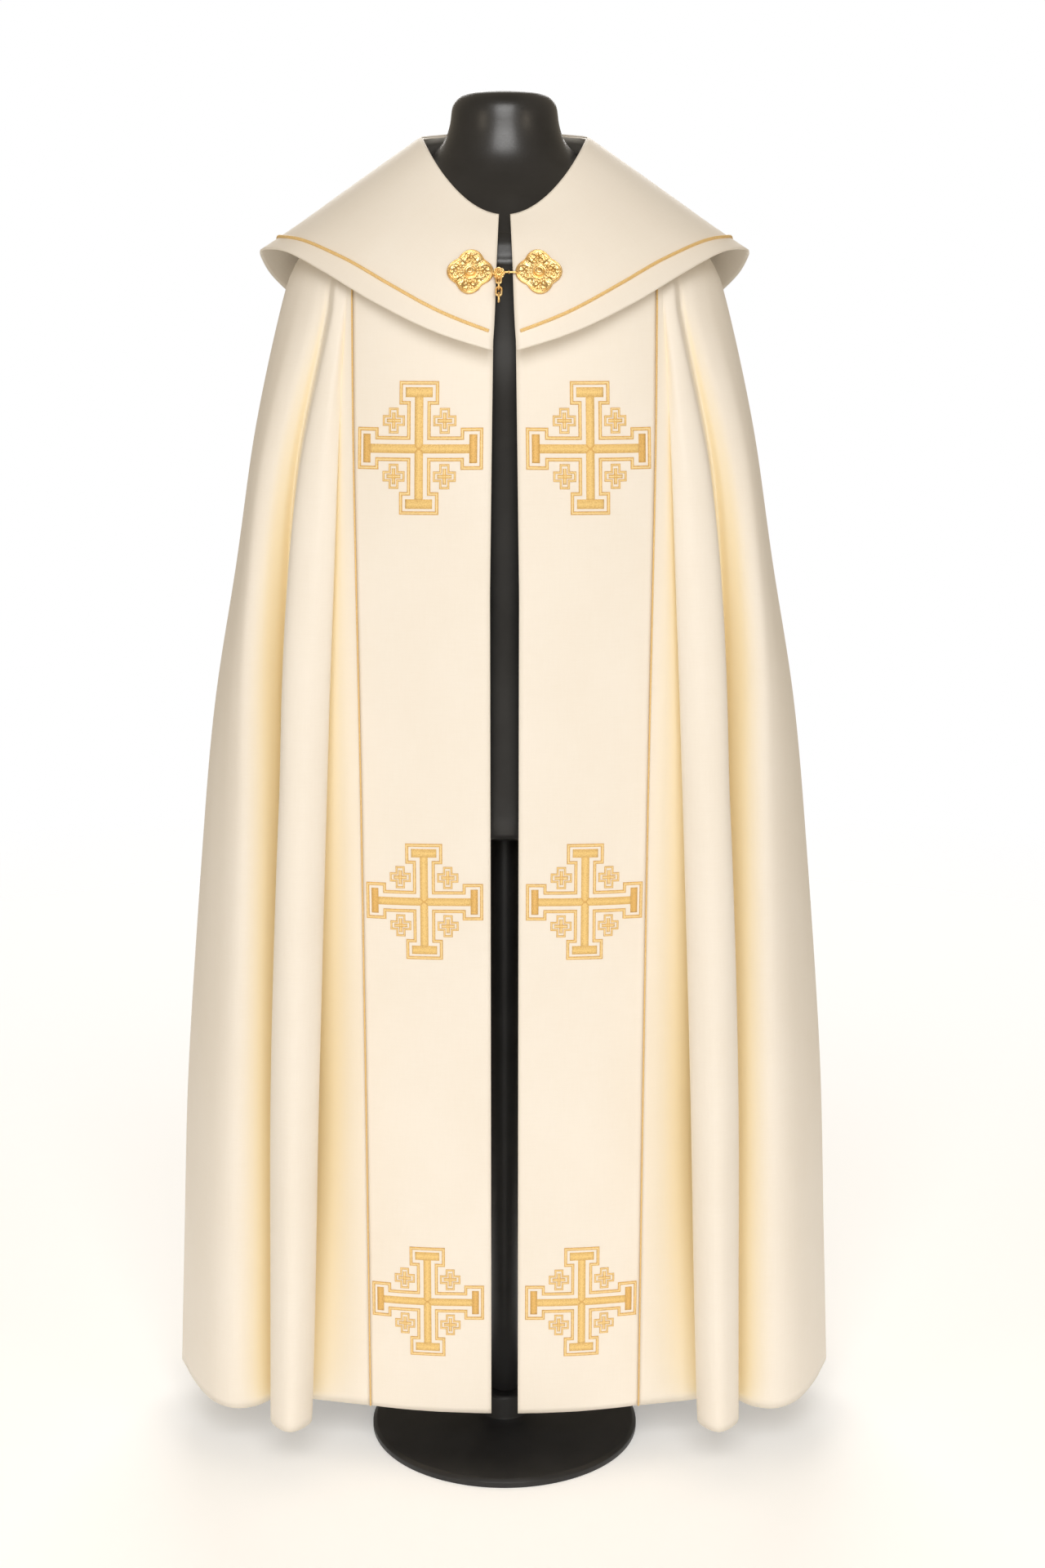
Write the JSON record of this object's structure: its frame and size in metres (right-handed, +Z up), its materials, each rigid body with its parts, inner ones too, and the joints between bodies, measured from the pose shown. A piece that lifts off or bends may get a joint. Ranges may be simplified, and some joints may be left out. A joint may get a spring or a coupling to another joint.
{
  "type": "cope vestment with shoulder cape on a dress form",
  "caption": "Floor-length cloth cope, open down the front, with a shoulder cape and a metal clasp with a hanging chain, worn by a limbless dress form on a round stand.",
  "frame": {"origin": "centre of the underside of the stand's base, on the floor", "axes": "+Z up, the wearer's front faces -Y, +X is to the right seen from the front"},
  "size_m": [0.8417, 0.5121, 1.666],
  "materials": {
    "cream_satin": "soft satin sheen",
    "gold_thread": "metallic thread",
    "gold_metal": "polished gold tone",
    "form_black": "satin gloss",
    "stand_black": "satin"
  },
  "bodies": {
    "cope_on_form": {"cope_body": "cream_satin", "front_band_left": "cream_satin", "front_band_right": "cream_satin", "shoulder_cape": "cream_satin", "cape_braid": "gold_thread", "band_braid_left": "gold_thread", "band_braid_right": "gold_thread", "clasp_plate_left": "gold_metal", "clasp_plate_right": "gold_metal", "clasp_rosette": "gold_metal", "clasp_hook": "gold_metal", "form_torso": "form_black", "stand_pole": "stand_black", "stand_base": "stand_black"},
    "chain_tail": {"chain_link_1": "gold_metal", "chain_link_2": "gold_metal", "chain_link_3": "gold_metal", "chain_link_4": "gold_metal"}
  },
  "joints": [
    {"name": "chain_swing", "type": "hinge", "parent": "cope_on_form", "child": "chain_tail", "pos_m": [-0.00623, -0.18065, 1.46963], "axis": [-0.0045, -0.8996, 0.4368], "range_deg": [-30, 30]}
  ]
}
